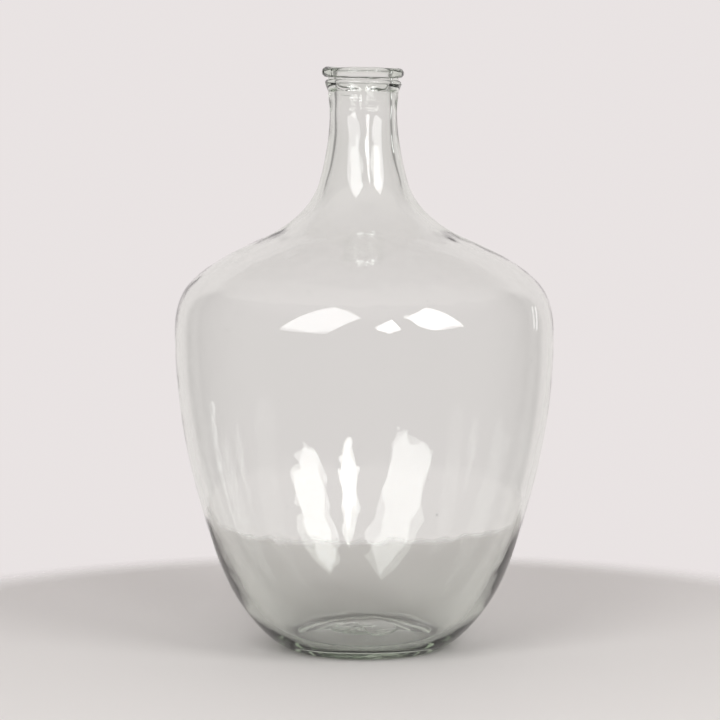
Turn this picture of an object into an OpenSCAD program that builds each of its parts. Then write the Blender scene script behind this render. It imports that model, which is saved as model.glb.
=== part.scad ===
// Glass carboy (demijohn) for fermenting and storing wine or beer.
// A blown vessel with a thick, pushed-up base, a high round belly, a broad shoulder and a
// waisted neck. A string ring and a rolled lip are laid on round the end of the neck, and the
// wad of glass that the iron held it by stays under the middle of the base.
// Millimetres, +Z up, origin at the middle of the ring that it stands on.

/* [Body] */
// Diameter of the belly at its widest
belly_d = 322; // [260:1:400]
// Height of the widest line above the table
belly_h = 272; // [200:1:340]
// Outer diameter of the ring that it stands on
foot_d = 132; // [100:1:180]
// Width of the flat ring that touches the table
stand_w = 8; // [4:0.5:14]
// Height from the widest line up to the root of the neck
shoulder_h = 94; // [74:1:120]

/* [Neck] */
// Diameter at the root of the neck, where the shoulder turns up into it
root_d = 122; // [98:1:150]
// Height from the root of the neck up to its narrowest place
flare_h = 92; // [74:1:120]
// Wall at the narrowest place
waist_wall = 5.5; // [4:0.1:8]
// Height from the narrowest place up to the seat of the two rings
mouth_h = 16; // [10:0.5:30]
// Wall of the straight end of the neck that carries the two rings
seat_wall = 6.8; // [5:0.1:9]
// Diameter of the bore that takes the stopper
bore_d = 46; // [34:0.5:58]
// Length of the straight bore, down from the rounded inner edge of the lip
bore_len = 52.6; // [30:0.2:64]

/* [Rings] */
// How far the string ring's bead stands out from the neck
collar_proud = 2.5; // [1:0.1:4.5]
// Height of the string ring with the tail that is drawn down the neck under its bead
collar_h = 10; // [8:0.5:16]
// Thickness of the string ring's bead
collar_bead = 5.8; // [4.8:0.1:7.6]
// Open groove between the string ring and the lip
groove_h = 2; // [0.6:0.1:5]
// How far the rolled lip stands out from the neck
lip_proud = 4.8; // [3:0.1:8]
// Height of the rolled lip
lip_h = 8; // [6.4:0.2:11]
// Rounding of the lip's inner edge
lip_edge_r = 3.4; // [1:0.1:4.2]
// How far the lip laps down over the end of the neck
lip_lap = 1.5; // [0.5:0.1:2.6]

/* [Walls] */
// Wall of the lower side, between the heel and the straight run
heel_wall = 8; // [5:0.5:12]
// Wall of the side, up to the widest line
side_wall = 4.8; // [3:0.2:7]
// Wall of the shoulder
shoulder_wall = 4.4; // [3:0.2:7]
// Wall at the root of the neck
root_wall = 5; // [3.6:0.2:7]
// Wall in the throat, where the neck closes down to the bore
throat_wall = 6.4; // [4.8:0.2:8]

/* [Base] */
// Height of the push-up in the middle of the base
kick_h = 12; // [8:0.5:26]
// Thickness of the base over the middle of the push-up
kick_t = 5; // [3:0.5:10]
// Diameter of the lowest ring of the floor inside
pool_d = 136; // [110:1:150]
// Thickness of the glass under the lowest ring of the floor
pool_t = 11.5; // [7:0.5:14]
// Diameter of the wad of glass left under the push-up
wad_d = 60; // [36:1:66]
// Thickness of that wad at its rim of broken glass
wad_t = 5; // [3.4:0.2:7]
// Depth of the hollow that the iron left in the middle of the wad
wad_dish = 1.4; // [0.4:0.1:1.5]

/* [Lower curve] */
// Lean of the side from level where it leaves the table
foot_lean = 22; // [16:1:34]
// Lean of the push-up from level where it leaves the table
kick_lean = 24; // [16:1:40]
// Heel: its share of the way out from foot to belly
heel_out = 0.38; // [0.32:0.01:0.44]
// Heel: its share of the way up from foot to belly
heel_up = 0.118; // [0.09:0.002:0.16]
// Heel: lean of the side there
heel_lean = 54; // [46:1:60]
// Straight run of the side: its share of the way out from foot to belly
side_out = 0.755; // [0.68:0.005:0.8]
// Straight run of the side: its share of the way up from foot to belly
side_up = 0.43; // [0.36:0.01:0.5]
// Straight run of the side: its lean
side_lean = 73; // [68:1:80]

/* [Upper curve] */
// Turn of the shoulder: its share of the way in from belly to neck root
turn_in = 0.137; // [0.1:0.001:0.2]
// Turn of the shoulder: its share of the way up from belly to neck root
turn_up = 0.445; // [0.36:0.005:0.52]
// Turn of the shoulder: its lean
turn_lean = 134; // [126:1:142]
// Slope of the shoulder: its share of the way in from belly to neck root
slope_in = 0.735; // [0.66:0.005:0.8]
// Slope of the shoulder: its share of the way up from belly to neck root
slope_up = 0.832; // [0.76:0.002:0.88]
// Slope of the shoulder: its lean
slope_lean = 156; // [150:1:162]
// Root of the neck: lean of the flare there
root_lean = 141; // [134:1:148]
// Throat: its share of the way in from neck root to waist
throat_in = 0.74; // [0.66:0.01:0.8]
// Throat: its share of the way up from neck root to waist
throat_up = 0.37; // [0.3:0.01:0.44]
// Throat: lean of the flare there
throat_lean = 105; // [100:1:112]
// Straight faces in each stretch between two stations of a curve
steps = 8; // [4:1:12]

/* [Hidden] */
$fn = 96;

GLASS = [0.80, 0.86, 0.83, 0.55];
GLASS_RING = [0.68, 0.77, 0.73, 0.75];
GLASS_WAD = [0.56, 0.68, 0.63, 0.85];

UPRIGHT = 90;
LEVEL = 0;
// Spare length of a cut beyond the face that it opens
CUT = 1;

// Radii of the neck, each a wall outside the bore, and of the rings that stand out from it
bore_r = bore_d / 2;
waist_r = bore_r + waist_wall;
seat_r = bore_r + seat_wall;
collar_r = seat_r + collar_proud;
lip_r = seat_r + lip_proud;

// Levels of the neck's end, each standing on the one below
root_z = belly_h + shoulder_h;
waist_z = root_z + flare_h;
seat_z = waist_z + mouth_h;
collar_top = seat_z + collar_h;
lip_z = collar_top + groove_h;
neck_end = lip_z + lip_lap;
height = lip_z + lip_h;
bore_top = height - lip_edge_r;
bore_z = bore_top - bore_len;

// --- Curves -------------------------------------------------------------------------------
// A station is a place on an outline: [radius, height, lean of the outline from level].

// Unit direction of an outline with the given lean
function heading(lean) = [cos(lean), sin(lean)];

// Point at share t of the cubic curve with control points p
function cubic(p, t) =
    pow(1 - t, 3) * p[0] + 3 * t * pow(1 - t, 2) * p[1] + 3 * t * t * (1 - t) * p[2]
    + pow(t, 3) * p[3];

// Control points of the fair curve from station a to station b. Each handle is a third of the
// chord, lengthened as a circular arc of the same turn needs.
function fair(a, b) =
    let (p = [a[0], a[1]],
         q = [b[0], b[1]],
         handle = norm(q - p) / (3 * pow(cos((b[2] - a[2]) / 4), 2)))
    [p, p + handle * heading(a[2]), q - handle * heading(b[2]), q];

// Points along the fair curves through a list of stations, up to but without the last station
function along(stations) =
    [for (i = [0 : len(stations) - 2], k = [0 : steps - 1])
        cubic(fair(stations[i], stations[i + 1]), k / steps)];

// Station at the given shares of the way across and up from a to b
function between(a, b, across, up, lean) =
    [a[0] + across * (b[0] - a[0]), a[1] + up * (b[1] - a[1]), lean];

// Station on the inside of a wall, square across from station a
function inside(a, wall) = [a[0] - wall * sin(a[2]), a[1] + wall * cos(a[2]), a[2]];

function reversed(list) = [for (i = [len(list) - 1 : -1 : 0]) list[i]];

// --- Stations of the vessel ---------------------------------------------------------------
foot = [foot_d / 2, 0, foot_lean];
belly = [belly_d / 2, belly_h, UPRIGHT];
root = [root_d / 2, root_z, root_lean];
waist = [waist_r, waist_z, UPRIGHT];
seat = [seat_r, seat_z, UPRIGHT];
heel = between(foot, belly, heel_out, heel_up, heel_lean);
side = between(foot, belly, side_out, side_up, side_lean);
turn = between(belly, root, turn_in, turn_up, turn_lean);
slope = between(belly, root, slope_in, slope_up, slope_lean);
throat = between(root, waist, throat_in, throat_up, throat_lean);

// Underside of the push-up, from its middle out to the standing ring
kick = [[0, kick_h, LEVEL], [foot_d / 2 - stand_w, 0, -kick_lean]];

// Outside of the wall, from the table up to the seat of the rings
outer = [foot, heel, side, belly, turn, slope, root, throat, waist, seat];

// Inside of the wall, from the middle of the floor up to the straight bore
inner = [
    [0, kick_h + kick_t, LEVEL],
    [pool_d / 2, pool_t, LEVEL],
    inside(heel, heel_wall),
    inside(side, side_wall),
    inside(belly, side_wall),
    inside(turn, shoulder_wall),
    inside(slope, shoulder_wall),
    inside(root, root_wall),
    inside(throat, throat_wall),
    [bore_r, bore_z, UPRIGHT]
];

// Half section of the vessel, round its glass once
module vessel_section() {
    polygon(concat(
        along(kick),
        [[foot_d / 2 - stand_w, 0]],
        along(outer),
        [[seat_r, seat_z],
         [seat_r, neck_end],
         [bore_r, neck_end],
         [bore_r, bore_z]],
        reversed(along(inner))));
}

// --- Sub-parts ----------------------------------------------------------------------------

// The blown vessel: base, side, shoulder and neck in one skin of glass
module vessel() {
    color(GLASS)
        rotate_extrude()
            vessel_section();
}

// The string ring: a thread of glass wound on under the lip, its tail drawn down the neck
module collar_ring() {
    bead_r = collar_bead / 2;
    bead = [collar_r - bead_r, collar_top - bead_r];
    tip = [seat_r, seat_z];
    reach = tip - bead;
    // Place round the bead where a line up from the tail's tip touches it
    touch = atan2(reach[1], reach[0]) + acos(bead_r / norm(reach));
    color(GLASS_RING)
        rotate_extrude()
            difference() {
                union() {
                    translate(bead)
                        circle(r = bead_r);
                    polygon([tip, bead + bead_r * heading(touch), bead]);
                }
                translate([0, seat_z - CUT])
                    square([seat_r, collar_h + 2 * CUT]);
            }
}

// The lip: a second, heavier thread rolled over the end of the neck and rounded into the bore
module lip_ring() {
    bead_r = lip_h / 2;
    bead_x = lip_r - bead_r;
    edge_x = bore_r + lip_edge_r;
    color(GLASS_RING)
        rotate_extrude()
            difference() {
                union() {
                    translate([bead_x, lip_z + bead_r])
                        circle(r = bead_r);
                    translate([edge_x, bore_top])
                        circle(r = lip_edge_r);
                    translate([edge_x, lip_z])
                        square([bead_x - edge_x, lip_h]);
                    translate([bore_r, lip_z])
                        square([bead_x - bore_r, bore_top - lip_z]);
                }
                translate([0, lip_z - CUT])
                    square([seat_r, lip_lap + CUT]);
            }
}

// The wad under the push-up: its top is the push-up itself, its face a broken ring and a hollow
module pontil_wad() {
    face_z = kick_h - wad_t;
    crest = [wad_d / 4, face_z, LEVEL];
    color(GLASS_WAD)
        rotate_extrude()
            difference() {
                polygon(concat(
                    along([[0, face_z + wad_dish, LEVEL], crest, [wad_d / 2, kick_h, UPRIGHT]]),
                    [[wad_d / 2, kick_h], [0, kick_h]]));
                vessel_section();
            }
}

vessel();
collar_ring();
lip_ring();
pontil_wad();
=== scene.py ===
"""Looks of a blown glass carboy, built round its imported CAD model.

The vessel, the string ring, the rolled lip and the pontil wad are each a closed skin of glass, turned
from a profile and then worked by hand: the wall drifts in thickness, the inner skin ripples, seeds of
air sit in the glass and the broken wad is scalloped. Where two pieces are fused their faces let light
straight through, so the glass reads as one body, and its tint comes from its depth.
"""

import logging
from dataclasses import dataclass, field
from enum import Enum
from typing import Any

import bpy
import numpy as np
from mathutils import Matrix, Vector


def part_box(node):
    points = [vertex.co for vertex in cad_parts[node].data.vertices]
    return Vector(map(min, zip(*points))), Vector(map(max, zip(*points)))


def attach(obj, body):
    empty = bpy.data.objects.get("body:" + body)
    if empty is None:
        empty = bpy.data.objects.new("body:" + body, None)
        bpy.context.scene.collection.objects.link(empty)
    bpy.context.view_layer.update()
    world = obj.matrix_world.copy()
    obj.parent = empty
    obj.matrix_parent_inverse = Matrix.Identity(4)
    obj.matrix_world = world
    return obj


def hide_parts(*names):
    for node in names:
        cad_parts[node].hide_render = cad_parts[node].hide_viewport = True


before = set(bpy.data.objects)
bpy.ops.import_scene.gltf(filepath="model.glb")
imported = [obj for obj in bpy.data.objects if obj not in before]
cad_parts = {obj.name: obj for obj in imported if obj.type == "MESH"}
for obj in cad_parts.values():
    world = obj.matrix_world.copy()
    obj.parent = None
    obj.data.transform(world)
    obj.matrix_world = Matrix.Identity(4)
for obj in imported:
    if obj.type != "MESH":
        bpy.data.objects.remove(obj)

LOG = logging.getLogger("carboy")
MM = 0.001
FUSED = "fused"
# Gap between two fused faces, so that light meets them in order
HAIR = 0.02 * MM
Array = np.ndarray


# --- Curves ---------------------------------------------------------------------------------------


@dataclass(frozen=True)
class Station:
    """A place on a profile: radius and height in metres, and the profile's lean from level in degrees."""

    radius: float
    height: float
    lean: float = 90.0

    def inside(self, wall: float) -> "Station":
        """The station one wall thickness in, square across from this one."""
        turn = np.radians(self.lean)
        return Station(self.radius - wall * np.sin(turn), self.height + wall * np.cos(turn), self.lean)

    def toward(self, other: "Station", across: float, up: float, lean: float) -> "Station":
        """The station at the given shares of the way across and up to another."""
        return Station(
            self.radius + across * (other.radius - self.radius),
            self.height + up * (other.height - self.height),
            lean,
        )


def smooth(share: Array) -> Array:
    """Ease from 0 to 1 with level ends: three squares less two cubes of the share, held within 0 and 1."""
    held = np.clip(share, 0.0, 1.0)
    return held * held * (3.0 - 2.0 * held)


def fair_stretch(start: Station, end: Station, pitch: float) -> Array:
    """Points of the fair curve between two stations.

    The curve is a cubic with a handle at each end along the station's lean. A handle is a third of the
    chord, lengthened as a circular arc of the same turn needs.

    Args:
        start: where the curve begins.
        end: where it ends.
        pitch: distance between points, in metres.

    Returns:
        An array of radius and height, with both ends.
    """
    first = np.array([start.radius, start.height])
    last = np.array([end.radius, end.height])
    chord = np.linalg.norm(last - first)
    leans = np.radians([start.lean, end.lean])
    handle = chord / (3.0 * np.cos((leans[1] - leans[0]) / 4.0) ** 2)
    out = first + handle * np.array([np.cos(leans[0]), np.sin(leans[0])])
    back = last - handle * np.array([np.cos(leans[1]), np.sin(leans[1])])
    t = np.linspace(0.0, 1.0, max(int(round(chord / pitch)), 2) + 1)[:, None]
    return (1 - t) ** 3 * first + 3 * t * (1 - t) ** 2 * out + 3 * t**2 * (1 - t) * back + t**3 * last


def fair_run(stations: list[Station], pitch: float) -> Array:
    """Points of the fair curves through a list of stations, each shared place once."""
    stretches = [fair_stretch(a, b, pitch) for a, b in zip(stations, stations[1:])]
    return np.vstack([s[:-1] for s in stretches] + [stretches[-1][-1:]])


def straight(start: tuple[float, float], end: tuple[float, float], pitch: float) -> Array:
    """Evenly spaced points on the line between two places, with both ends."""
    ends = np.array([start, end], float)
    count = max(int(round(np.linalg.norm(ends[1] - ends[0]) / pitch)), 1)
    return ends[0] + np.linspace(0.0, 1.0, count + 1)[:, None] * (ends[1] - ends[0])


def arc(centre: tuple[float, float], radius: float, first: float, last: float, pitch: float) -> Array:
    """Points round a circle from one angle to another, in degrees from level, with both ends."""
    turns = np.radians([first, last])
    count = max(int(round(abs(turns[1] - turns[0]) * radius / pitch)), 3)
    angle = np.linspace(turns[0], turns[1], count + 1)
    return np.array(centre) + radius * np.column_stack([np.cos(angle), np.sin(angle)])


# --- Hand work ------------------------------------------------------------------------------------


@dataclass(frozen=True)
class Ripple:
    """Gentle unevenness of a glass skin, as a height above it at each point in space.

    The height is a sum of plane waves of random heading, length and phase, scaled so that its root mean
    square is the amplitude. Lengths lie between short and long. stretch divides the waves' pace along
    each axis, so a large third value draws the ripple out into upright cords. fading is the share that
    is lost on the left and right sides, by the square of the way across, which keeps the outline calm
    seen from the front. gain is how much stronger the ripple is on the neck than on the body. still is
    the share that is lost on the floor and near it.
    """

    amplitude: float
    short: float
    long: float
    seed: int
    waves: int = 36
    stretch: tuple[float, float, float] = (1.0, 1.0, 1.0)
    fading: float = 0.0
    gain: float = 0.0
    neck_from: float = 380 * MM
    neck_over: float = 50 * MM
    still: float = 0.0
    floor_over: float = 64 * MM

    def at(self, points: Array) -> Array:
        """Height of the ripple.

        Args:
            points: an array of points, the last axis holding x, y and z.

        Returns:
            The height above the skin at each point, in metres.
        """
        draw = np.random.default_rng(self.seed)
        heading = draw.normal(size=(self.waves, 3))
        heading /= np.linalg.norm(heading, axis=1)[:, None]
        length = self.short * (self.long / self.short) ** draw.random(self.waves)
        phase = draw.random(self.waves) * 2 * np.pi
        pace = 2 * np.pi * heading / length[:, None] / np.array(self.stretch)
        flat = points.reshape(-1, 3)
        level = np.cos(flat @ pace.T + phase).sum(1)
        across = flat[:, 0] ** 2 / np.maximum(flat[:, 0] ** 2 + flat[:, 1] ** 2, MM**2)
        level = level * (1.0 - self.fading * across)
        level = level * (1.0 + self.gain * smooth((flat[:, 2] - self.neck_from) / self.neck_over))
        level = level * (1.0 - self.still * smooth(1.5 - flat[:, 2] / self.floor_over))
        return (self.amplitude * np.sqrt(2.0 / self.waves) * level).reshape(points.shape[:-1])


@dataclass(frozen=True)
class Lap:
    """Where a wound thread of glass ends on its own start: a slow rise round the ring and a quick drop.

    turn is the place round the axis in radians, run and drop the turns over which it rises and falls.
    """

    turn: float
    height: float
    run: float = 0.45
    drop: float = 0.10

    def at(self, points: Array) -> Array:
        """Height of the lap.

        Args:
            points: an array of points, the last axis holding x, y and z.

        Returns:
            The height above the skin at each point, in metres.
        """
        turn = np.arctan2(points[..., 1], points[..., 0]) - self.turn
        past = (turn + np.pi) % (2 * np.pi) - np.pi
        return self.height * smooth(1.0 + past / self.run) * smooth(1.0 - past / self.drop)


@dataclass(frozen=True)
class Fracture:
    """The broken face of the wad: two facets that meet in a crack, and scallops fanning out beside it.

    Each facet is a plane: the right one rises towards the back and the left one falls. The crack is a
    line from the middle of the wad to its back, and the glass on its right stands a step lower. The
    scallops are ribs that radiate from a point near the middle, as the size of a sine of the turn round
    it, within a fan.
    """

    crack_turn: float = 1.28
    crack_x: float = -2.0 * MM
    step: float = 0.5 * MM
    edge: float = 0.7 * MM
    rise: float = 0.10
    fall: float = 0.07
    fan_edge: float = 1.3
    fan_x: float = -4.0 * MM
    fan_y: float = 2.0 * MM
    fan_middle: float = -2.2
    fan_half: float = 1.1
    ribs: float = 7.0
    rib_height: float = 0.9 * MM
    rib_from: float = 7.0 * MM

    def at(self, points: Array) -> Array:
        """Depth of the break.

        Args:
            points: an array of points, the last axis holding x, y and z.

        Returns:
            How far below the plain face the broken one stands at each point, in metres.
        """
        x, y = points[..., 0], points[..., 1]
        across = (x - self.crack_x) * np.sin(self.crack_turn) + y * np.cos(self.crack_turn)
        right = smooth(across / self.edge + 0.5)
        plane = right * (self.step - self.rise * y) + (1.0 - right) * self.fall * y
        turn = np.arctan2(y - self.fan_y, x - self.fan_x)
        reach = np.hypot(x - self.fan_x, y - self.fan_y)
        fan = smooth(self.fan_edge - np.abs(turn - self.fan_middle) / self.fan_half)
        fan = fan * smooth(reach / self.rib_from - 0.5)
        return plane + fan * self.rib_height * np.abs(np.sin(self.ribs * turn))


@dataclass(frozen=True)
class HandShape:
    """How far the whole carboy departs from a turned form.

    lean is how far the top stands off the axis, oval the share by which it is out of round, sag the drop
    of the front as a share of its reach, bow the shift to the right in front and behind, nip how far the
    front of the neck is pressed in, and tilt the slope of the rings.
    """

    lean_x: float = -1.1 * MM
    lean_y: float = 0.6 * MM
    oval: float = 0.0022
    oval_turn: float = 0.6
    swell: Ripple = field(default_factory=lambda: Ripple(0.22 * MM, 120 * MM, 260 * MM, 11))
    sag: float = 0.047
    sag_soft: float = 30 * MM
    bow: float = 1.7 * MM
    nip: float = 3.0 * MM
    nip_from: float = 428 * MM
    nip_top: float = 464 * MM
    nip_end: float = 476 * MM
    tilt_x: float = -0.020
    tilt_y: float = 0.006
    tilt_from: float = 456 * MM
    tilt_over: float = 24 * MM
    height: float = 494 * MM
    start_over: float = 60 * MM
    swell_from: float = 60 * MM
    belly_from: float = 200 * MM
    body_end: float = 440 * MM
    body_over: float = 90 * MM

    def worked(self, points: Array) -> Array:
        """Moves points of the turned form to where the hand-worked glass has them.

        Each point goes out from the axis by an oval share and the swell, the axis leans with the square
        of height, the belly sags in front and bows to the right in front and behind, the neck is nipped
        in front under the collar, and above the waist the rings tip over. All of it grows from nothing
        at the table.

        Args:
            points: an array of points, the last axis holding x, y and z.

        Returns:
            The moved points, in an array of the same shape.
        """
        x, y, z = points[..., 0], points[..., 1], points[..., 2]
        rise = smooth(z / self.start_over)
        angle = np.arctan2(y, x)
        radius = np.hypot(x, y)
        below_neck = smooth((self.body_end - z) / self.body_over)
        share = 1.0 + rise * self.oval * np.cos(2 * angle + self.oval_turn)
        share = share + rise * below_neck * self.swell.at(points) / np.maximum(radius, self.swell_from)
        lift = (z / self.height) ** 2
        tip = smooth((z - self.tilt_from) / self.tilt_over)
        round_part = smooth(z / self.belly_from) * below_neck
        sag = round_part * self.sag * (y - np.sqrt(y**2 + self.sag_soft**2)) / 2
        bow = round_part * self.bow * y**2 / np.maximum(radius, MM) ** 2
        neck = smooth((z - self.nip_from) / (self.nip_top - self.nip_from))
        neck = neck * smooth((self.nip_end - z) / (self.nip_end - self.nip_top))
        nip = self.nip * neck * (np.minimum(y, 0.0) / np.maximum(radius, MM)) ** 2
        return np.stack(
            [
                x * share + bow + self.lean_x * lift,
                y * share + nip + self.lean_y * lift,
                z + sag + tip * (self.tilt_x * x + self.tilt_y * y),
            ],
            axis=-1,
        )


# --- Turned skins ---------------------------------------------------------------------------------


class Skin(Enum):
    """What a strip of a profile is: which ripple it takes and whether it shows."""

    INNER = "inner"
    OUTER = "outer"
    BROKEN = "broken"
    BASE = "base"
    TRUE = "true"
    FUSED = "fused"


@dataclass
class Strip:
    """A stretch of a profile, as points of radius and height, with the skin that it is."""

    points: Array
    skin: Skin


@dataclass
class Shape:
    """Points and faces of one piece, with the faces that are fused to a neighbour and the sharp edges."""

    points: Array
    quads: Array
    triangles: Array
    quad_fused: Array
    triangle_fused: Array
    sharp_pairs: Array

    def joined(self, other: "Shape") -> "Shape":
        """This shape and another in one."""
        step = len(self.points)
        return Shape(
            np.vstack([self.points, other.points]),
            np.vstack([self.quads, other.quads + step]),
            np.vstack([self.triangles, other.triangles + step]),
            np.concatenate([self.quad_fused, other.quad_fused]),
            np.concatenate([self.triangle_fused, other.triangle_fused]),
            np.vstack([self.sharp_pairs, other.sharp_pairs + step]),
        )

    def volume(self) -> float:
        """Signed volume: a sixth of the triple product of each face's corners, summed."""
        q, t = self.quads, self.triangles
        fans = np.vstack([q[:, [0, 1, 2]], q[:, [0, 2, 3]], t])
        a, b, c = (self.points[fans[:, i]] for i in range(3))
        return float(np.einsum("ij,ij->i", a, np.cross(b, c)).sum() / 6.0)

    def turned_over(self) -> "Shape":
        """The same shape with every face pointing the other way."""
        return Shape(
            self.points, self.quads[:, ::-1], self.triangles[:, ::-1],
            self.quad_fused, self.triangle_fused, self.sharp_pairs,
        )

    def build(self, name: str) -> bpy.types.Object:
        """Makes the Blender object, smooth but for its sharp edges, with the fused faces marked.

        Args:
            name: name of the object and its mesh.

        Returns:
            The new object, at the origin.
        """
        mesh = bpy.data.meshes.new(name)
        corners = np.concatenate([self.quads.ravel(), self.triangles.ravel()])
        sizes = np.concatenate([np.full(len(self.quads), 4), np.full(len(self.triangles), 3)])
        mesh.vertices.add(len(self.points))
        mesh.vertices.foreach_set("co", self.points.ravel())
        mesh.loops.add(len(corners))
        mesh.loops.foreach_set("vertex_index", corners)
        mesh.polygons.add(len(sizes))
        mesh.polygons.foreach_set("loop_start", np.concatenate([[0], np.cumsum(sizes)[:-1]]))
        mesh.update(calc_edges=True)
        mesh.validate()
        mesh.polygons.foreach_set("use_smooth", np.ones(len(sizes), bool))
        mark = mesh.attributes.new(FUSED, "FLOAT", "FACE")
        mark.data.foreach_set("value", np.concatenate([self.quad_fused, self.triangle_fused]).astype(float))
        self._mark_sharp(mesh)
        mesh.update()
        made = bpy.data.objects.new(name, mesh)
        bpy.context.scene.collection.objects.link(made)
        return made

    def _mark_sharp(self, mesh: bpy.types.Mesh) -> None:
        """Marks the mesh's edges whose two ends are among the sharp pairs."""
        ends = np.empty(len(mesh.edges) * 2, int)
        mesh.edges.foreach_get("vertices", ends)
        ends = np.sort(ends.reshape(-1, 2), axis=1)
        key = ends[:, 0] * len(self.points) + ends[:, 1]
        pairs = np.sort(self.sharp_pairs, axis=1)
        sharp = np.isin(key, pairs[:, 0] * len(self.points) + pairs[:, 1])
        mark = mesh.attributes.new("sharp_edge", "BOOLEAN", "EDGE")
        mark.data.foreach_set("value", sharp)


@dataclass
class Turning:
    """A piece turned round the upright axis from strips, each ending where the next begins.

    The profile either runs from the axis to the axis, or is a closed loop clear of it. Ripples die away
    over calm_over, and a bend of more than sharp_from degrees between two strips is a sharp edge.
    """

    strips: list[Strip]
    around: int
    loop: bool
    ripples: dict[Skin, list[Ripple | Lap | Fracture]]
    hand: HandShape
    calm_over: float = 10 * MM
    sharp_from: float = 50.0

    def shape(self) -> Shape:
        """The piece's points and faces.

        Each profile point is carried round the axis in equal steps, then moved along the profile's own
        normal by the ripples of its skin. The ripples die away towards strips that must stay true.

        Returns:
            The shape, with faces pointing out of the glass.
        """
        profile, skins, calm, sharp = self._profile()
        angle = np.arange(self.around) * 2 * np.pi / self.around
        normal = self._normals(profile)
        turned = self._round(profile[:, 0], profile[:, 1], angle)
        outward = self._round(normal[:, 0], normal[:, 1], angle)
        rise = np.zeros(turned.shape[:2])
        for skin, ripples in self.ripples.items():
            here = skins == skin
            for ripple in ripples:
                rise[here] += ripple.at(turned[here])
        turned = turned + outward * (rise * calm[:, None])[..., None]
        shape = self._faces(self.hand.worked(turned), skins == Skin.FUSED, sharp)
        return shape if shape.volume() > 0 else shape.turned_over()

    def _profile(self) -> tuple[Array, Array, Array, Array]:
        """Joins the strips.

        Returns:
            The profile's points, the skin that starts at each, how much ripple each takes, and whether
            the ring at each point is a sharp edge.
        """
        points = [s.points[:-1] for s in self.strips]
        names = [s.skin for s in self.strips for _ in s.points[:-1]]
        if not self.loop:
            points.append(self.strips[-1].points[-1:])
            names.append(self.strips[-1].skin)
        profile = np.vstack(points)
        skins = np.array(names, dtype=object)
        gaps = np.linalg.norm(np.diff(profile, axis=0), axis=1)
        along = np.concatenate([[0.0], np.cumsum(gaps)])
        true = (skins == Skin.FUSED) | (skins == Skin.TRUE)
        true[1:] |= true[:-1].copy()
        if true.any():
            away = np.abs(along[:, None] - along[true][None, :]).min(1)
        else:
            away = np.full(len(along), self.calm_over)
        starts = np.cumsum([0] + [len(p) for p in points[: len(self.strips)]])
        sharp = np.zeros(len(profile), bool)
        for i in range(0 if self.loop else 1, len(self.strips)):
            before, after = self.strips[i - 1].points, self.strips[i].points
            bend = self._bend(before[-1] - before[-2], after[1] - after[0])
            sharp[starts[i]] = bend > self.sharp_from
        return profile, skins, smooth(away / self.calm_over), sharp

    @staticmethod
    def _bend(way_in: Array, way_out: Array) -> float:
        """Angle between two directions of a profile, in degrees."""
        cross = way_in[0] * way_out[1] - way_in[1] * way_out[0]
        return float(np.degrees(abs(np.arctan2(cross, way_in @ way_out))))

    def _normals(self, profile: Array) -> Array:
        """Unit normals of the profile: its own direction, from neighbour to neighbour, turned a quarter."""
        if self.loop:
            way = np.roll(profile, -1, axis=0) - np.roll(profile, 1, axis=0)
        else:
            way = np.gradient(profile, axis=0)
        normal = np.column_stack([way[:, 1], -way[:, 0]])
        return normal / np.maximum(np.linalg.norm(normal, axis=1), 1e-12)[:, None]

    @staticmethod
    def _round(radius: Array, height: Array, angle: Array) -> Array:
        """Carries radii and heights round the axis, to an array of rings by steps by three."""
        level = np.broadcast_to(height[:, None], (len(height), len(angle)))
        return np.stack([radius[:, None] * np.cos(angle), radius[:, None] * np.sin(angle), level], axis=-1)

    def _faces(self, grid: Array, fused: Array, sharp: Array) -> Shape:
        """Joins neighbouring rings with quads, and closes on the axis with one point and triangles."""
        rings, steps = grid.shape[:2]
        number = np.arange(rings * steps).reshape(rings, steps)
        points = grid.reshape(-1, 3)
        ahead = np.roll(number, -1, axis=1)
        if self.loop:
            below, below_ahead = np.roll(number, -1, axis=0), np.roll(ahead, -1, axis=0)
            rows = np.arange(rings)
        else:
            below, below_ahead = number[1:], ahead[1:]
            rows = np.arange(1, rings - 2)
        quads = np.stack([number[rows], ahead[rows], below_ahead[rows], below[rows]], axis=-1).reshape(-1, 4)
        quad_fused = np.repeat(fused[rows], steps)
        ends = np.stack([number, ahead], axis=-1)
        pairs = ends[np.flatnonzero(sharp)].reshape(-1, 2)
        if self.loop:
            none = np.empty((0, 3), int)
            return Shape(points, quads, none, quad_fused, np.empty(0, bool), pairs)
        first, last = number[0, 0], number[-1, 0]
        cap_a = np.column_stack([np.full(steps, first), ahead[1], number[1]])
        cap_b = np.column_stack([np.full(steps, last), number[-2], ahead[-2]])
        triangles = np.vstack([cap_a, cap_b])
        triangle_fused = np.repeat(np.array([fused[0], fused[-2]]), steps)
        return self._without_spares(Shape(points, quads, triangles, quad_fused, triangle_fused, pairs))

    @staticmethod
    def _without_spares(shape: Shape) -> Shape:
        """Drops the points that no face uses, which are the spare copies of the two on the axis."""
        used = np.zeros(len(shape.points), bool)
        used[shape.quads.ravel()] = True
        used[shape.triangles.ravel()] = True
        renumber = np.cumsum(used) - 1
        keep = used[shape.sharp_pairs].all(1)
        return Shape(
            shape.points[used], renumber[shape.quads], renumber[shape.triangles],
            shape.quad_fused, shape.triangle_fused, renumber[shape.sharp_pairs[keep]],
        )


# --- Finishes -------------------------------------------------------------------------------------


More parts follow.
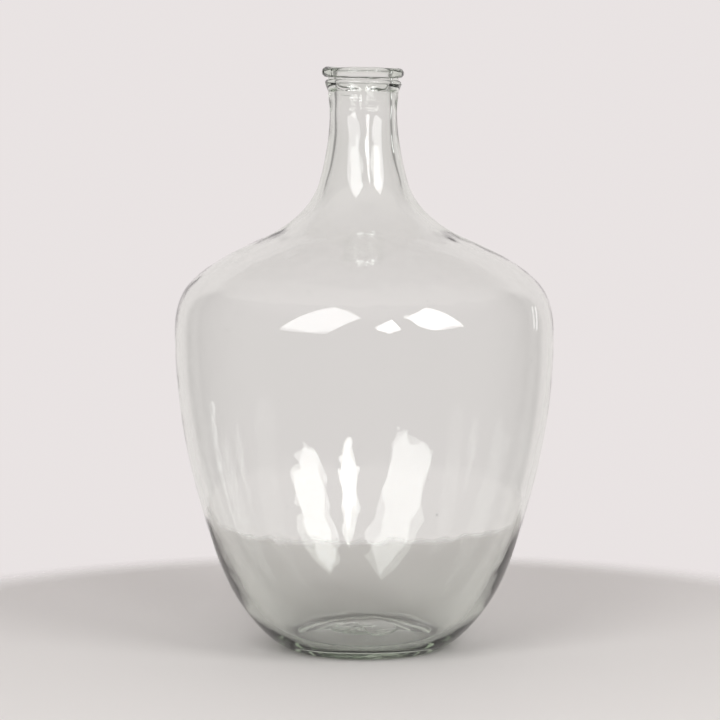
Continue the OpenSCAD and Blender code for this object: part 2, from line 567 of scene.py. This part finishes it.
@dataclass(frozen=True)
class Socket:
    """An output of a shader node that arithmetic works on, each step becoming a Math node."""

    shop: "NodeShop"
    end: bpy.types.NodeSocket

    def _math(self, operation: str, first: Any, second: Any = 0.0) -> "Socket":
        """A Math node on two values or sockets."""
        return self.shop.add("ShaderNodeMath", {"operation": operation}, {0: first, 1: second})["Value"]

    def __add__(self, other: Any) -> "Socket":
        return self._math("ADD", self, other)

    def __radd__(self, other: Any) -> "Socket":
        return self._math("ADD", other, self)

    def __sub__(self, other: Any) -> "Socket":
        return self._math("SUBTRACT", self, other)

    def __rsub__(self, other: Any) -> "Socket":
        return self._math("SUBTRACT", other, self)

    def __mul__(self, other: Any) -> "Socket":
        return self._math("MULTIPLY", self, other)

    def __rmul__(self, other: Any) -> "Socket":
        return self._math("MULTIPLY", other, self)


@dataclass(frozen=True)
class Outputs:
    """The outputs of one node, by name."""

    shop: "NodeShop"
    node: bpy.types.Node

    def __getitem__(self, name: str) -> Socket:
        return Socket(self.shop, self.node.outputs[name])


@dataclass
class NodeShop:
    """Makes the nodes of one material or world."""

    tree: bpy.types.NodeTree

    def add(self, kind: str, settings: dict[str, Any] | None = None, ends: dict | None = None) -> Outputs:
        """Makes a node.

        Args:
            kind: the node's type name.
            settings: its properties by name.
            ends: values or sockets for its inputs, by name or number.

        Returns:
            The node's outputs.
        """
        node = self.tree.nodes.new(kind)
        for name, value in (settings or {}).items():
            setattr(node, name, value)
        for name, value in (ends or {}).items():
            if isinstance(value, Socket):
                self.tree.links.new(value.end, node.inputs[name])
            else:
                node.inputs[name].default_value = value
        return Outputs(self, node)


@dataclass(frozen=True)
class Glass:
    """Clear bottle glass whose tint comes from its depth.

    tint is the colour of light that has come through, and depth is how strongly a metre takes it. Fused
    faces of a piece let light straight through.
    """

    name: str
    tint: tuple[float, float, float] = (0.49, 0.60, 0.45)
    density: float = 16.0
    ior: float = 1.5
    roughness: float = 0.0
    fine: float = 0.008 * MM
    fine_size: float = 5 * MM

    def material(self) -> bpy.types.Material:
        """Makes the glass.

        A fine unevenness in the skin comes from noise in the object's own space. The fused faces are
        mixed over to a plain see-through shader by the mesh's own mark.
        """
        made = bpy.data.materials.new(self.name)
        made.use_nodes = True
        made.node_tree.nodes.clear()
        shop = NodeShop(made.node_tree)
        place = shop.add("ShaderNodeTexCoord")["Object"]
        noise = shop.add(
            "ShaderNodeTexNoise", {}, {"Vector": place, "Scale": 1.0 / self.fine_size, "Detail": 2.0}
        )["Fac"]
        bump = shop.add("ShaderNodeBump", {}, {"Height": noise, "Distance": self.fine, "Strength": 1.0})
        skin = shop.add(
            "ShaderNodeBsdfPrincipled",
            {},
            {
                "Base Color": (1.0, 1.0, 1.0, 1.0),
                "Roughness": self.roughness,
                "IOR": self.ior,
                "Transmission Weight": 1.0,
                "Normal": bump["Normal"],
            },
        )["BSDF"]
        through = shop.add("ShaderNodeBsdfTransparent")["BSDF"]
        mark = shop.add("ShaderNodeAttribute", {"attribute_name": FUSED})["Fac"]
        surface = shop.add("ShaderNodeMixShader", {}, {0: mark, 1: skin, 2: through})["Shader"]
        depth = shop.add(
            "ShaderNodeVolumeAbsorption", {}, {"Color": (*self.tint, 1.0), "Density": self.density}
        )["Volume"]
        shop.add("ShaderNodeOutputMaterial", {}, {"Surface": surface, "Volume": depth})
        return made


# --- The carboy's pieces --------------------------------------------------------------------------


@dataclass(frozen=True)
class Rings:
    """Sizes of the neck's end that the vessel and both rings share, in metres."""

    bore_r: float = 23.0 * MM
    seat_r: float = 29.8 * MM
    seat_z: float = 474.0 * MM
    collar_bead_r: float = 2.9 * MM
    collar_x: float = 29.4 * MM
    collar_z: float = 481.1 * MM
    lip_z: float = 486.0 * MM
    lip_bead_r: float = 4.0 * MM
    lip_x: float = 30.6 * MM
    edge_r: float = 3.4 * MM
    neck_end: float = 487.5 * MM

    @property
    def collar_meets(self) -> float:
        """Height where the top of the collar's bead meets the seat."""
        return self.collar_z + np.sqrt(self.collar_bead_r**2 - (self.seat_r - self.collar_x) ** 2)


@dataclass(frozen=True)
class Base:
    """Sizes of the pushed-up base, in metres."""

    kick_h: float = 12.0 * MM
    kick_lean: float = -24.0
    stand_in: float = 58.0 * MM
    foot_r: float = 66.0 * MM
    wad_crest_r: float = 15.0 * MM
    wad_face_z: float = 7.0 * MM
    wad_dish: float = 1.4 * MM
    wad_edge: float = 30.0 * MM

    def underside(self, pitch: float) -> Array:
        """Points of the push-up's underside, from the axis out to the standing ring."""
        return fair_stretch(
            Station(0.0, self.kick_h, 0.0), Station(self.stand_in, 0.0, self.kick_lean), pitch
        )

    def wad_face(self, pitch: float) -> Array:
        """Points of the wad's face, from the axis over the crest to where its edge would stand upright."""
        hollow = Station(0.0, self.wad_face_z + self.wad_dish, 0.0)
        crest = Station(self.wad_crest_r, self.wad_face_z, 0.0)
        return fair_run([hollow, crest, Station(self.wad_edge, self.kick_h, 90.0)], pitch)

    @property
    def wad_r(self) -> float:
        """Radius at which the wad's face runs out on the push-up: the first where the face is no lower."""
        above, face = self.underside(0.1 * MM), self.wad_face(0.1 * MM)
        roof = np.interp(face[:, 0], above[:, 0], above[:, 1])
        return float(face[np.argmax(face[:, 1] >= roof), 0])


def cut_at(points: Array, column: int, value: float) -> tuple[Array, Array]:
    """Cuts a line of points where its radius (column 0) or height (column 1) first passes a value.

    Returns:
        The part before and the part after, both with the cut's own point.
    """
    side = points[:, column] > value
    first = int(np.argmax(side != side[0]))
    a, b = points[first - 1], points[first]
    share = (value - a[column]) / (b[column] - a[column])
    cut = a + share * (b - a)
    return np.vstack([points[:first], cut]), np.vstack([cut, points[first:]])


@dataclass
class Vessel:
    """The blown vessel: base, side, shoulder and neck in one skin of glass, with seeds of air in it."""

    rings: Rings
    base: Base
    hand: HandShape
    glass: bpy.types.Material
    around: int = 216
    fine: float = 1.6 * MM
    coarse: float = 3.1 * MM
    belly: Station = Station(161 * MM, 272 * MM, 90)
    root: Station = Station(61 * MM, 366 * MM, 141)
    waist: Station = Station(28.5 * MM, 458 * MM, 90)
    foot: Station = Station(66 * MM, 0.0, 22)
    floor: Station = Station(0.0, 17 * MM, 0)
    pool: Station = Station(66 * MM, 11.7 * MM, 0)
    fold: Station = Station(70.5 * MM, 12.9 * MM, 30)
    bore_z: float = 438 * MM
    heel_wall: float = 8 * MM
    side_wall: float = 4.8 * MM
    shoulder_wall: float = 4.4 * MM
    root_wall: float = 5.0 * MM
    throat_wall: float = 6.4 * MM
    seeds: int = 46
    seed_draw: int = 7
    seed_least: float = 0.20 * MM
    seed_more: float = 0.28 * MM
    seed_taller: float = 1.2

    def build(self) -> bpy.types.Object:
        """Turns the vessel's skin, works it by hand and puts the seeds in."""
        heel, side, turn = self._side_stations()
        slope = self.belly.toward(self.root, 0.735, 0.832, 156)
        throat = self.root.toward(self.waist, 0.74, 0.37, 105)
        seat = Station(self.rings.seat_r, self.rings.seat_z)
        outer = [self.foot, heel, side, self.belly, turn, slope, self.root, throat, self.waist, seat]
        inner = [
            self.floor,
            self.pool,
            self.fold,
            heel.inside(self.heel_wall),
            side.inside(self.side_wall),
            self.belly.inside(self.side_wall),
            turn.inside(self.shoulder_wall),
            slope.inside(self.shoulder_wall),
            self.root.inside(self.root_wall),
            throat.inside(self.throat_wall),
            Station(self.rings.bore_r, self.bore_z),
        ]
        under_wad, open_kick = cut_at(self.base.underside(self.fine), 0, self.base.wad_r)
        r, end = self.rings, self.rings.neck_end
        profile = [
            Strip(under_wad, Skin.FUSED),
            Strip(open_kick, Skin.BASE),
            Strip(straight((self.base.stand_in, 0.0), (self.foot.radius, 0.0), self.fine), Skin.TRUE),
            Strip(fair_run(outer, self.coarse), Skin.OUTER),
            Strip(straight((r.seat_r, r.seat_z), (r.seat_r, r.collar_meets), self.fine), Skin.FUSED),
            Strip(straight((r.seat_r, r.collar_meets), (r.seat_r, r.lip_z), self.fine), Skin.TRUE),
            Strip(straight((r.seat_r, r.lip_z), (r.seat_r, end), self.fine), Skin.FUSED),
            Strip(straight((r.seat_r, end), (r.bore_r, end), self.fine), Skin.FUSED),
            Strip(straight((r.bore_r, end), (r.bore_r, self.bore_z), self.coarse), Skin.INNER),
            Strip(fair_run(inner, self.coarse)[::-1], Skin.INNER),
        ]
        ripples = {
            Skin.OUTER: [
                Ripple(0.035 * MM, 40 * MM, 90 * MM, 21, fading=0.5),
                Ripple(0.008 * MM, 12 * MM, 24 * MM, 22, fading=0.8, gain=5.0),
            ],
            Skin.BASE: [Ripple(0.03 * MM, 12 * MM, 30 * MM, 23)],
            Skin.INNER: [
                Ripple(
                    0.045 * MM, 50 * MM, 120 * MM, 31, stretch=(1.0, 1.0, 1.6), fading=0.5, still=0.5
                ),
                Ripple(0.046 * MM, 14 * MM, 24 * MM, 32, fading=0.7, gain=0.9, still=0.85),
            ],
        }
        shape = Turning(profile, self.around, False, ripples, self.hand).shape()
        return shape.joined(self._seeds()).build("vessel")

    def _side_stations(self) -> tuple[Station, Station, Station]:
        """Outer stations at the heel, the straight run of the side and the turn of the shoulder."""
        heel = self.foot.toward(self.belly, 0.38, 0.118, 54)
        side = self.foot.toward(self.belly, 0.755, 0.43, 73)
        turn = self.belly.toward(self.root, 0.137, 0.445, 134)
        return heel, side, turn

    def _seeds(self) -> Shape:
        """Seeds of air in the middle of the wall: closed round skins that face into the air they hold."""
        draw = np.random.default_rng(self.seed_draw)
        made = None
        for _ in range(self.seeds):
            angle = draw.random() * 2 * np.pi
            share = draw.random()
            radius, height = self._mid_wall(share)
            centre = self.hand.worked(
                np.array([[radius * np.cos(angle), radius * np.sin(angle), height]])
            )[0]
            size = self.seed_least + self.seed_more * draw.random() ** 2
            seed = self._seed(centre, size, 1.0 + self.seed_taller * draw.random())
            made = seed if made is None else made.joined(seed)
        return made

    def _mid_wall(self, share: float) -> tuple[float, float]:
        """Radius and height in the middle of the side wall, at a share of its height."""
        heel, side, turn = self._side_stations()
        stations = [s.inside(self.side_wall / 2) for s in (heel, side, self.belly, turn)]
        middle = fair_run(stations, self.coarse)
        place = middle[int(share * (len(middle) - 1))]
        return float(place[0]), float(place[1])

    @staticmethod
    def _seed(centre: Array, size: float, tall: float) -> Shape:
        """One seed: a ball of twelve by seven faces, drawn out upright, its faces turned inward."""
        rows, steps = 7, 12
        polar = np.linspace(0.0, np.pi, rows + 1)[1:-1]
        angle = np.arange(steps) * 2 * np.pi / steps
        ring = np.stack(
            [
                np.sin(polar)[:, None] * np.cos(angle),
                np.sin(polar)[:, None] * np.sin(angle),
                np.broadcast_to(np.cos(polar)[:, None], (rows - 1, steps)),
            ],
            axis=-1,
        ).reshape(-1, 3)
        points = np.vstack([ring, [[0, 0, 1], [0, 0, -1]]]) * size * np.array([1.0, 1.0, tall]) + centre
        number = np.arange((rows - 1) * steps).reshape(rows - 1, steps)
        ahead = np.roll(number, -1, axis=1)
        quads = np.stack([number[:-1], ahead[:-1], ahead[1:], number[1:]], axis=-1).reshape(-1, 4)
        top, bottom = len(ring), len(ring) + 1
        caps = np.vstack(
            [
                np.column_stack([np.full(steps, top), ahead[0], number[0]]),
                np.column_stack([np.full(steps, bottom), number[-1], ahead[-1]]),
            ]
        )
        none = np.empty((0, 2), int)
        shape = Shape(points, quads, caps, np.zeros(len(quads), bool), np.zeros(len(caps), bool), none)
        return shape if shape.volume() < 0 else shape.turned_over()

    def dress(self, piece: bpy.types.Object) -> None:
        """Gives the vessel its glass and says what it stands for."""
        piece.data.materials.append(self.glass)
        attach(piece, "root")
        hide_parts("vessel")


@dataclass
class Collar:
    """The string ring: a thread of glass wound on under the lip, its tail drawn down the neck."""

    rings: Rings
    hand: HandShape
    glass: bpy.types.Material
    around: int = 192
    pitch: float = 0.7 * MM

    def build(self) -> bpy.types.Object:
        """Turns the collar's section: the tail's slope, the bead and the face on the neck."""
        r = self.rings
        reach = np.array([r.seat_r - r.collar_x, r.seat_z - r.collar_z])
        gap = np.linalg.norm(reach)
        touch = np.arctan2(reach[1], reach[0]) + np.arccos(r.collar_bead_r / gap)
        slope_end = (
            r.collar_x + r.collar_bead_r * np.cos(touch),
            r.collar_z + r.collar_bead_r * np.sin(touch),
        )
        top = np.degrees(np.arccos((r.seat_r - r.collar_x) / r.collar_bead_r))
        on_neck = r.seat_r + HAIR
        bead = arc((r.collar_x, r.collar_z), r.collar_bead_r, np.degrees(touch), top, self.pitch)
        bead[:, 0] = np.maximum(bead[:, 0], on_neck)
        tip = (on_neck, r.seat_z)
        face = straight((on_neck, bead[-1][1]), tip, self.pitch)
        profile = [
            Strip(straight(tip, slope_end, self.pitch), Skin.OUTER),
            Strip(bead, Skin.OUTER),
            Strip(face, Skin.FUSED),
        ]
        ripples = {Skin.OUTER: [Ripple(0.16 * MM, 14 * MM, 40 * MM, 41), Lap(-2.5, 0.35 * MM)]}
        turning = Turning(profile, self.around, True, ripples, self.hand, calm_over=3 * MM)
        return turning.shape().build("collar_ring")

    def dress(self, piece: bpy.types.Object) -> None:
        """Gives the collar its glass and says what it stands for."""
        piece.data.materials.append(self.glass)
        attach(piece, "root")
        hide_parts("collar_ring")


@dataclass
class Lip:
    """The lip: a heavier thread rolled over the end of the neck and rounded into the bore."""

    rings: Rings
    hand: HandShape
    glass: bpy.types.Material
    around: int = 192
    pitch: float = 0.8 * MM

    def build(self) -> bpy.types.Object:
        """Turns the lip's section: lap, underside, bead, top, rounded edge, bore and the face it sits on."""
        r = self.rings
        on_neck = r.seat_r + HAIR
        on_end = r.neck_end + HAIR
        edge_x = r.bore_r + r.edge_r
        bead_z = r.lip_z + r.lip_bead_r
        edge_z = bead_z + r.lip_bead_r - r.edge_r
        top = bead_z + r.lip_bead_r
        profile = [
            Strip(straight((on_neck, r.lip_z), (r.lip_x, r.lip_z), self.pitch), Skin.OUTER),
            Strip(arc((r.lip_x, bead_z), r.lip_bead_r, -90, 90, self.pitch), Skin.OUTER),
            Strip(straight((r.lip_x, top), (edge_x, top), self.pitch), Skin.OUTER),
            Strip(arc((edge_x, edge_z), r.edge_r, 90, 180, self.pitch), Skin.OUTER),
            Strip(straight((r.bore_r, edge_z), (r.bore_r, on_end), self.pitch), Skin.OUTER),
            Strip(straight((r.bore_r, on_end), (on_neck, on_end), self.pitch), Skin.FUSED),
            Strip(straight((on_neck, on_end), (on_neck, r.lip_z), self.pitch), Skin.FUSED),
        ]
        ripples = {Skin.OUTER: [Ripple(0.16 * MM, 16 * MM, 48 * MM, 51), Lap(-2.9, 0.5 * MM)]}
        turning = Turning(profile, self.around, True, ripples, self.hand, calm_over=3 * MM)
        return turning.shape().build("lip_ring")

    def dress(self, piece: bpy.types.Object) -> None:
        """Gives the lip its glass and says what it stands for."""
        piece.data.materials.append(self.glass)
        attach(piece, "root")
        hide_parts("lip_ring")


@dataclass
class PontilWad:
    """The wad under the push-up, its top fused to the glass above and its face a broken ring."""

    base: Base
    hand: HandShape
    glass: bpy.types.Material
    around: int = 128
    pitch: float = 0.7 * MM

    def build(self) -> bpy.types.Object:
        """Turns the wad: the hollow, the crest, the rounded edge and the face on the push-up."""
        b = self.base
        face = b.wad_face(self.pitch)
        seat, _ = cut_at(b.underside(self.pitch), 0, b.wad_r)
        seat[:, 1] -= HAIR
        broken = face[face[:, 0] < b.wad_r - 0.1 * MM]
        profile = [
            Strip(np.vstack([broken, seat[-1:]]), Skin.BROKEN),
            Strip(seat[::-1], Skin.FUSED),
        ]
        ripples = {Skin.BROKEN: [Ripple(0.10 * MM, 5 * MM, 16 * MM, 61), Fracture()]}
        turning = Turning(profile, self.around, False, ripples, self.hand, calm_over=3 * MM)
        return turning.shape().build("pontil_wad")

    def dress(self, piece: bpy.types.Object) -> None:
        """Gives the wad its glass and says what it stands for."""
        piece.data.materials.append(self.glass)
        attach(piece, "root")
        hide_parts("pontil_wad")


# --- The studio -----------------------------------------------------------------------------------


@dataclass(frozen=True)
class Softbox:
    """A softbox: its corners in order as directions from the carboy (azimuth, elevation) and its radiance.

    Azimuth goes round from the front to the right and elevation up, both in degrees.
    """

    name: str
    corners: tuple[tuple[float, float], ...]
    radiance: float
    distance: float = 2.8

    def build(self, aim: Vector) -> bpy.types.Object:
        """Makes the softbox as one glowing face.

        Args:
            aim: the point that the directions are taken from.

        Returns:
            The face, hidden from direct view.
        """
        around, up = np.radians(np.array(self.corners)).T
        way = np.column_stack([np.sin(around) * np.cos(up), -np.cos(around) * np.cos(up), np.sin(up)])
        mesh = bpy.data.meshes.new(self.name)
        outline = tuple(range(len(self.corners)))
        mesh.from_pydata((np.array(aim) + way * self.distance).tolist(), [], [outline])
        made = bpy.data.materials.new(self.name)
        made.use_nodes = True
        made.node_tree.nodes.clear()
        shop = NodeShop(made.node_tree)
        glow = shop.add("ShaderNodeEmission", {}, {"Strength": self.radiance})["Emission"]
        shop.add("ShaderNodeOutputMaterial", {}, {"Surface": glow})
        mesh.materials.append(made)
        box = bpy.data.objects.new(self.name, mesh)
        box.visible_camera = False
        bpy.context.scene.collection.objects.link(box)
        return box


@dataclass
class Studio:
    """A pale floor, a pale surround that is brighter behind than in front, softboxes and the camera."""

    aim_height: float
    floor_size: float = 12.0
    floor_tone: tuple[float, float, float] = (0.74, 0.72, 0.70)
    floor_clear: float = 0.44
    floor_fade: float = 0.10
    behind: float = 0.815
    side: float = 0.34
    front: float = 0.26
    above: float = 0.56
    behind_half: float = 44.0
    soft: float = 5.0
    front_turn: tuple[float, float] = (95.0, 140.0)
    ceiling: tuple[float, float] = (0.45, 0.75)
    tone: tuple[float, float, float] = (1.0, 0.946, 0.944)
    camera_back: float = 2.2137
    camera_height: float = 0.4203
    camera_side: float = -0.0038
    camera_pitch: float = 4.5
    lens: float = 130.0

    def build(self) -> None:
        """Makes the floor, the surround, the lights and the camera."""
        self._floor()
        self._surround()
        self._lights()
        self._camera()

    def _floor(self) -> None:
        """Makes the floor: one large square on the table's plane."""
        half = self.floor_size / 2
        mesh = bpy.data.meshes.new("floor")
        corners = [(-half, -half, 0), (half, -half, 0), (half, half, 0), (-half, half, 0)]
        mesh.from_pydata(corners, [], [(0, 1, 2, 3)])
        floor = bpy.data.objects.new("floor", mesh)
        bpy.context.scene.collection.objects.link(floor)
        made = bpy.data.materials.new("pale floor")
        made.use_nodes = True
        made.node_tree.nodes.clear()
        shop = NodeShop(made.node_tree)
        skin = shop.add(
            "ShaderNodeBsdfPrincipled", {}, {"Base Color": (*self.floor_tone, 1.0), "Roughness": 0.7}
        )["BSDF"]
        gone = shop.add("ShaderNodeBsdfTransparent")["BSDF"]
        place = shop.add("ShaderNodeTexCoord")["Object"]
        away = shop.add("ShaderNodeVectorMath", {"operation": "LENGTH"}, {0: place})["Value"]
        fade = self._eased(shop, away, self.floor_clear, self.floor_clear + self.floor_fade, 0.0, 1.0)
        surface = shop.add("ShaderNodeMixShader", {}, {0: fade, 1: skin, 2: gone})["Shader"]
        shop.add("ShaderNodeOutputMaterial", {}, {"Surface": surface})
        mesh.materials.append(made)

    @staticmethod
    def _eased(shop: NodeShop, value: Socket, start: float, end: float, first: float, last: float) -> Socket:
        """A value that eases from first to last as another goes from start to end."""
        ends = {"Value": value, "From Min": start, "From Max": end, "To Min": first, "To Max": last}
        return shop.add("ShaderNodeMapRange", {"interpolation_type": "SMOOTHSTEP"}, ends)["Result"]

    def _surround(self) -> None:
        """Makes the surround: a bright wall behind, dimmer sides, a dim front and a dim ceiling.

        Its brightness goes by the turn from straight behind, and above by the rise.
        """
        world = bpy.data.worlds.new("surround")
        bpy.context.scene.world = world
        world.use_nodes = True
        world.node_tree.nodes.clear()
        shop = NodeShop(world.node_tree)
        way = shop.add("ShaderNodeTexCoord")["Generated"]
        parts = shop.add("ShaderNodeSeparateXYZ", {}, {"Vector": way})
        turn = shop.add("ShaderNodeMath", {"operation": "ARCTAN2"}, {0: parts["X"], 1: parts["Y"]})["Value"]
        turn = shop.add("ShaderNodeMath", {"operation": "ABSOLUTE"}, {0: turn})["Value"]
        edge = np.radians(self.behind_half)
        soft = np.radians(self.soft)
        wall = self._eased(shop, turn, edge - soft, edge + soft, self.behind - self.side, 0.0)
        room = self._eased(shop, turn, *np.radians(self.front_turn), self.side, self.front)
        level = wall + room
        up = self._eased(shop, parts["Z"], *self.ceiling, 0.0, 1.0)
        level = level + up * (self.above - level)
        shade = shop.add("ShaderNodeBackground", {}, {"Color": (*self.tone, 1.0), "Strength": level})
        shop.add("ShaderNodeOutputWorld", {}, {"Surface": shade["Background"]})

    def _lights(self) -> None:
        """Makes the softboxes, in the places that the highlights on the glass ask for."""
        aim = Vector((0.0, 0.0, self.aim_height))
        boxes = [
            Softbox(
                "left softbox", ((-52, 16), (-30, 14.5), (-22, 15), (-3, 37), (-28, 58), (-42, 37)), 4.4
            ),
            Softbox("right softbox", ((60, 18), (47, 52), (25, 36), (31, 23), (37, 17), (44, 16)), 5.6),
            Softbox("middle light", ((5, 21), (12, 16), (20, 20), (15, 34)), 9.0),
            Softbox("rear strip", ((124, 1), (126, 1), (132, 13), (130, 13)), 2.8),
        ]
        for box in boxes:
            box.build(aim)

    def _camera(self) -> None:
        """Makes the camera: in front, a little above the belly, tipped slightly down."""
        lens = bpy.data.cameras.new("camera")
        lens.lens = self.lens
        lens.sensor_width = 36.0
        made = bpy.data.objects.new("camera", lens)
        made.location = (self.camera_side, -self.camera_back, self.camera_height)
        made.rotation_euler = (np.radians(90.0 - self.camera_pitch), 0.0, 0.0)
        bpy.context.scene.collection.objects.link(made)
        bpy.context.scene.camera = made


@dataclass
class Exposure:
    """How the scene is traced and shown: deep light paths through glass and a plain view."""

    through_glass: int = 24
    mirrored: int = 12

    def apply(self) -> None:
        """Sets path depths and the plain view transform."""
        scene = bpy.context.scene
        scene.view_settings.view_transform = "Standard"
        scene.cycles.max_bounces = self.through_glass
        scene.cycles.transmission_bounces = self.through_glass
        scene.cycles.glossy_bounces = self.mirrored
        scene.cycles.transparent_max_bounces = self.through_glass
        scene.cycles.caustics_reflective = True
        scene.cycles.caustics_refractive = True


def main() -> None:
    """Builds the studio and the carboy's pieces."""
    logging.basicConfig(level=logging.INFO, format="%(name)s: %(message)s")
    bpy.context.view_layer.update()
    low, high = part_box("vessel")
    Exposure().apply()
    Studio(aim_height=(low[2] + high[2]) / 2).build()
    rings, base, hand = Rings(), Base(), HandShape()
    body_glass = Glass("body glass").material()
    ring_glass = Glass("ring glass").material()
    wad_glass = Glass("wad glass").material()
    assemblies = [
        Vessel(rings, base, hand, body_glass),
        Collar(rings, hand, ring_glass),
        Lip(rings, hand, ring_glass),
        PontilWad(base, hand, wad_glass),
    ]
    for assembly in assemblies:
        piece = assembly.build()
        assembly.dress(piece)
        LOG.info("%s: %d faces", piece.name, len(piece.data.polygons))
    bpy.context.view_layer.update()


if __name__ == "__main__":
    main()
